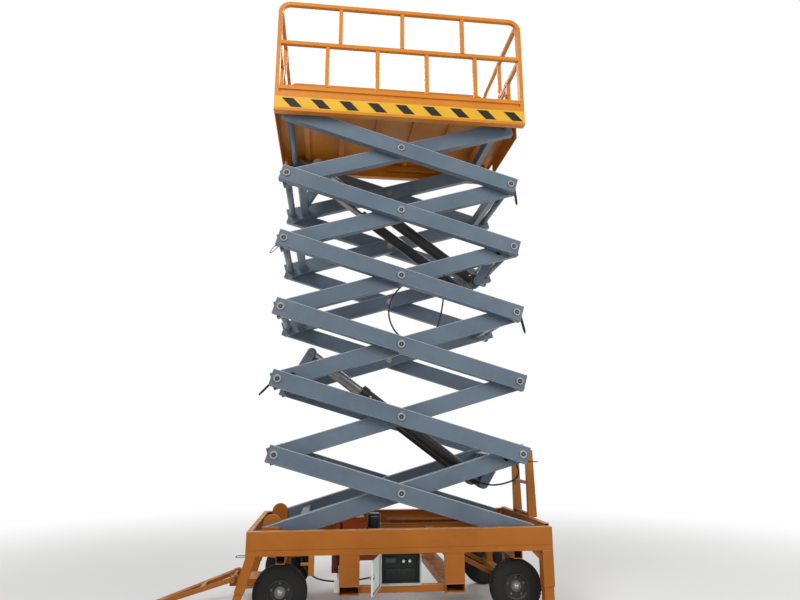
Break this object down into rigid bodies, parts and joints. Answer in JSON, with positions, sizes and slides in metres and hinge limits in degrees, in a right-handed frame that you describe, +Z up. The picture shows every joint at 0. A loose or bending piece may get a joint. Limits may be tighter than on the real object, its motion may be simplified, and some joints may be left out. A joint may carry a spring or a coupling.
{
  "type": "towable scissor lift",
  "caption": "Towable scissor lift with a raised platform, crossed arms, hydraulic cylinders, guard rails, wheels, drawbar and stabiliser legs.",
  "frame": {"origin": "on the floor under the middle of the whole machine, its drawbar and open control box door included", "axes": "+X along the chassis away from the drawbar, +Y across the machine away from the control box, +Z up"},
  "size_m": [3.7677, 1.8574, 6.0096],
  "materials": {
    "chassis_orange": "orange gloss paint with edge wear",
    "platform_orange": "orange gloss paint",
    "arm_grey": "blue-grey paint",
    "pin_steel": "bright zinc-plated steel",
    "barrel_black": "black gloss paint",
    "rod_chrome": "polished hard chrome",
    "tyre_rubber": "black rubber",
    "rim_black": "black paint",
    "box_grey": "light grey enamel",
    "deck_orange": "orange paint, worn off the raised pattern of its top",
    "unit_red": "red-orange paint",
    "hose_black": "black hose rubber"
  },
  "bodies": {
    "chassis": {"chassis_rails": "chassis_orange", "cross_beams": "chassis_orange", "base_brackets": "chassis_orange", "rail_posts": "chassis_orange", "fork_pockets": "chassis_orange", "rear_axle": "chassis_orange", "control_box": "box_grey", "power_unit": "unit_red", "boarding_ladder": "chassis_orange"},
    "front_axle": {"front_axle": "chassis_orange"},
    "drawbar": {"drawbar": "chassis_orange"},
    "control_box_door": {"control_box_door": "box_grey"},
    "platform": {"platform_sides": "platform_orange", "platform_joists": "platform_orange", "platform_deck": "deck_orange", "guard_rails": "platform_orange", "guard_posts": "platform_orange"},
    "platform_gate": {"platform_gate": "platform_orange"},
    "inner_1": {"inner_arms_1": "arm_grey", "inner_ties_1": "arm_grey", "base_hose": "hose_black"},
    "outer_1": {"outer_arms_1": "arm_grey", "outer_pins_1": "pin_steel"},
    "inner_2": {"inner_arms_2": "arm_grey", "inner_ties_2": "arm_grey"},
    "outer_2": {"outer_arms_2": "arm_grey", "outer_pins_2": "pin_steel"},
    "inner_3": {"inner_arms_3": "arm_grey", "inner_ties_3": "arm_grey"},
    "outer_3": {"outer_arms_3": "arm_grey", "outer_pins_3": "pin_steel"},
    "inner_4": {"inner_arms_4": "arm_grey", "inner_ties_4": "arm_grey", "stack_hose": "hose_black"},
    "outer_4": {"outer_arms_4": "arm_grey", "outer_pins_4": "pin_steel"},
    "inner_5": {"inner_arms_5": "arm_grey", "inner_ties_5": "arm_grey"},
    "outer_5": {"outer_arms_5": "arm_grey", "outer_pins_5": "pin_steel"},
    "inner_6": {"inner_arms_6": "arm_grey", "inner_ties_6": "arm_grey"},
    "outer_6": {"outer_arms_6": "arm_grey", "outer_pins_6": "pin_steel"},
    "lower_barrels": {"lower_barrels": "barrel_black"},
    "lower_rods": {"lower_rods": "rod_chrome"},
    "upper_barrels": {"upper_barrels": "barrel_black"},
    "upper_rods": {"upper_rods": "rod_chrome"},
    "wheel_rear_near": {"tyre_rear_near": "tyre_rubber", "rim_rear_near": "rim_black"},
    "jack_leg_rear_near": {"jack_leg_rear_near": "chassis_orange"},
    "wheel_rear_far": {"tyre_rear_far": "tyre_rubber", "rim_rear_far": "rim_black"},
    "jack_leg_rear_far": {"jack_leg_rear_far": "chassis_orange"},
    "wheel_front_near": {"tyre_front_near": "tyre_rubber", "rim_front_near": "rim_black"},
    "jack_leg_front_near": {"jack_leg_front_near": "chassis_orange"},
    "wheel_front_far": {"tyre_front_far": "tyre_rubber", "rim_front_far": "rim_black"},
    "jack_leg_front_far": {"jack_leg_front_far": "chassis_orange"}
  },
  "joints": [
    {"name": "lift", "type": "hinge", "parent": "chassis", "child": "inner_1", "pos_m": [-0.66673, 0.16374, 0.708], "axis": [0, -1, 0], "range_deg": [-9.5, 34]},
    {"name": "outer_1_turn", "type": "hinge", "parent": "inner_1", "child": "outer_1", "pos_m": [0.48385, 0.16374, 1.04882], "axis": [0, -1, 0], "range_deg": [-68, 19]},
    {"name": "outer_2_turn", "type": "hinge", "parent": "inner_1", "child": "outer_2", "pos_m": [1.63444, 0.16374, 1.38964], "axis": [0, -1, 0], "range_deg": [-68, 19]},
    {"name": "inner_2_turn", "type": "hinge", "parent": "outer_2", "child": "inner_2", "pos_m": [0.48385, 0.16374, 1.73046], "axis": [0, -1, 0], "range_deg": [-19, 68]},
    {"name": "inner_3_turn", "type": "hinge", "parent": "outer_2", "child": "inner_3", "pos_m": [-0.66673, 0.16374, 2.07127], "axis": [0, -1, 0], "range_deg": [-19, 68]},
    {"name": "outer_3_turn", "type": "hinge", "parent": "inner_3", "child": "outer_3", "pos_m": [0.48385, 0.16374, 2.41209], "axis": [0, -1, 0], "range_deg": [-68, 19]},
    {"name": "outer_4_turn", "type": "hinge", "parent": "inner_3", "child": "outer_4", "pos_m": [1.63444, 0.16374, 2.75291], "axis": [0, -1, 0], "range_deg": [-68, 19]},
    {"name": "inner_4_turn", "type": "hinge", "parent": "outer_4", "child": "inner_4", "pos_m": [0.48385, 0.16374, 3.09373], "axis": [0, -1, 0], "range_deg": [-19, 68]},
    {"name": "inner_5_turn", "type": "hinge", "parent": "outer_4", "child": "inner_5", "pos_m": [-0.66673, 0.16374, 3.43455], "axis": [0, -1, 0], "range_deg": [-19, 68]},
    {"name": "outer_5_turn", "type": "hinge", "parent": "inner_5", "child": "outer_5", "pos_m": [0.48385, 0.16374, 3.77537], "axis": [0, -1, 0], "range_deg": [-68, 19]},
    {"name": "outer_6_turn", "type": "hinge", "parent": "inner_5", "child": "outer_6", "pos_m": [1.63444, 0.16374, 4.11618], "axis": [0, -1, 0], "range_deg": [-68, 19]},
    {"name": "inner_6_turn", "type": "hinge", "parent": "outer_6", "child": "inner_6", "pos_m": [0.48385, 0.16374, 4.457], "axis": [0, -1, 0], "range_deg": [-19, 68]},
    {"name": "platform_turn", "type": "hinge", "parent": "outer_6", "child": "platform", "pos_m": [-0.66673, 0.16374, 4.79782], "axis": [0, -1, 0], "range_deg": [-9.5, 34]},
    {"name": "lower_barrels_turn", "type": "hinge", "parent": "inner_1", "child": "lower_barrels", "pos_m": [1.3346, 0.16374, 1.10266], "axis": [0, -1, 0], "range_deg": [-62.9, 17.57]},
    {"name": "lower_rods_slide", "type": "slide", "parent": "lower_barrels", "child": "lower_rods", "axis": [-0.8026, 0, 0.5965], "range_m": [-0.2459, 0.8787]},
    {"name": "upper_barrels_turn", "type": "hinge", "parent": "inner_4", "child": "upper_barrels", "pos_m": [1.3346, 0.16374, 3.14757], "axis": [0, -1, 0], "range_deg": [-62.9, 17.57]},
    {"name": "upper_rods_slide", "type": "slide", "parent": "upper_barrels", "child": "upper_rods", "axis": [-0.8026, 0, 0.5965], "range_m": [-0.2459, 0.8787]},
    {"name": "steering", "type": "hinge", "parent": "chassis", "child": "front_axle", "pos_m": [-0.56615, 0.16374, 0.235], "axis": [0, 0, 1], "range_deg": [-25, 25]},
    {"name": "drawbar_lift", "type": "hinge", "parent": "front_axle", "child": "drawbar", "pos_m": [-1.02615, 0.16374, 0.27], "axis": [0, 1, 0], "range_deg": [0, 100]},
    {"name": "wheel_rear_near_roll", "type": "hinge", "parent": "chassis", "child": "wheel_rear_near", "pos_m": [1.53385, -0.41126, 0.235], "axis": [0, 1, 0], "continuous": true},
    {"name": "jack_leg_rear_near_slide", "type": "slide", "parent": "chassis", "child": "jack_leg_rear_near", "axis": [0, 0, 1], "range_m": [0, 0.15]},
    {"name": "wheel_rear_far_roll", "type": "hinge", "parent": "chassis", "child": "wheel_rear_far", "pos_m": [1.53385, 0.73874, 0.235], "axis": [0, 1, 0], "continuous": true},
    {"name": "jack_leg_rear_far_slide", "type": "slide", "parent": "chassis", "child": "jack_leg_rear_far", "axis": [0, 0, 1], "range_m": [0, 0.15]},
    {"name": "wheel_front_near_roll", "type": "hinge", "parent": "front_axle", "child": "wheel_front_near", "pos_m": [-0.56615, -0.41126, 0.235], "axis": [0, 1, 0], "continuous": true},
    {"name": "jack_leg_front_near_slide", "type": "slide", "parent": "chassis", "child": "jack_leg_front_near", "axis": [0.2823, 0, 0.9593], "range_m": [0, 0.15]},
    {"name": "wheel_front_far_roll", "type": "hinge", "parent": "front_axle", "child": "wheel_front_far", "pos_m": [-0.56615, 0.73874, 0.235], "axis": [0, 1, 0], "continuous": true},
    {"name": "jack_leg_front_far_slide", "type": "slide", "parent": "chassis", "child": "jack_leg_front_far", "axis": [0.2823, 0, 0.9593], "range_m": [0, 0.15]},
    {"name": "control_box_door_swing", "type": "hinge", "parent": "chassis", "child": "control_box_door", "pos_m": [0.29385, -0.58626, 0.43], "axis": [0, 0, 1], "range_deg": [0, 106]},
    {"name": "platform_gate_swing", "type": "hinge", "parent": "platform", "child": "platform_gate", "pos_m": [1.73585, -0.13226, 5.19782], "axis": [0, 0, 1], "range_deg": [0, 90]}
  ],
  "couplings": [
    {"joint": "outer_1_turn", "follows": "lift", "ratio": -2},
    {"joint": "outer_2_turn", "follows": "lift", "ratio": -2},
    {"joint": "inner_2_turn", "follows": "lift", "ratio": 2},
    {"joint": "inner_3_turn", "follows": "lift", "ratio": 2},
    {"joint": "outer_3_turn", "follows": "lift", "ratio": -2},
    {"joint": "outer_4_turn", "follows": "lift", "ratio": -2},
    {"joint": "inner_4_turn", "follows": "lift", "ratio": 2},
    {"joint": "inner_5_turn", "follows": "lift", "ratio": 2},
    {"joint": "outer_5_turn", "follows": "lift", "ratio": -2},
    {"joint": "outer_6_turn", "follows": "lift", "ratio": -2},
    {"joint": "inner_6_turn", "follows": "lift", "ratio": 2},
    {"joint": "platform_turn", "follows": "lift", "ratio": 1},
    {"joint": "lower_barrels_turn", "follows": "lift", "ratio": -1.85},
    {"joint": "lower_rods_slide", "follows": "lift", "m_per_rad": 1.48},
    {"joint": "upper_barrels_turn", "follows": "lift", "ratio": -1.85},
    {"joint": "upper_rods_slide", "follows": "lift", "m_per_rad": 1.48}
  ]
}
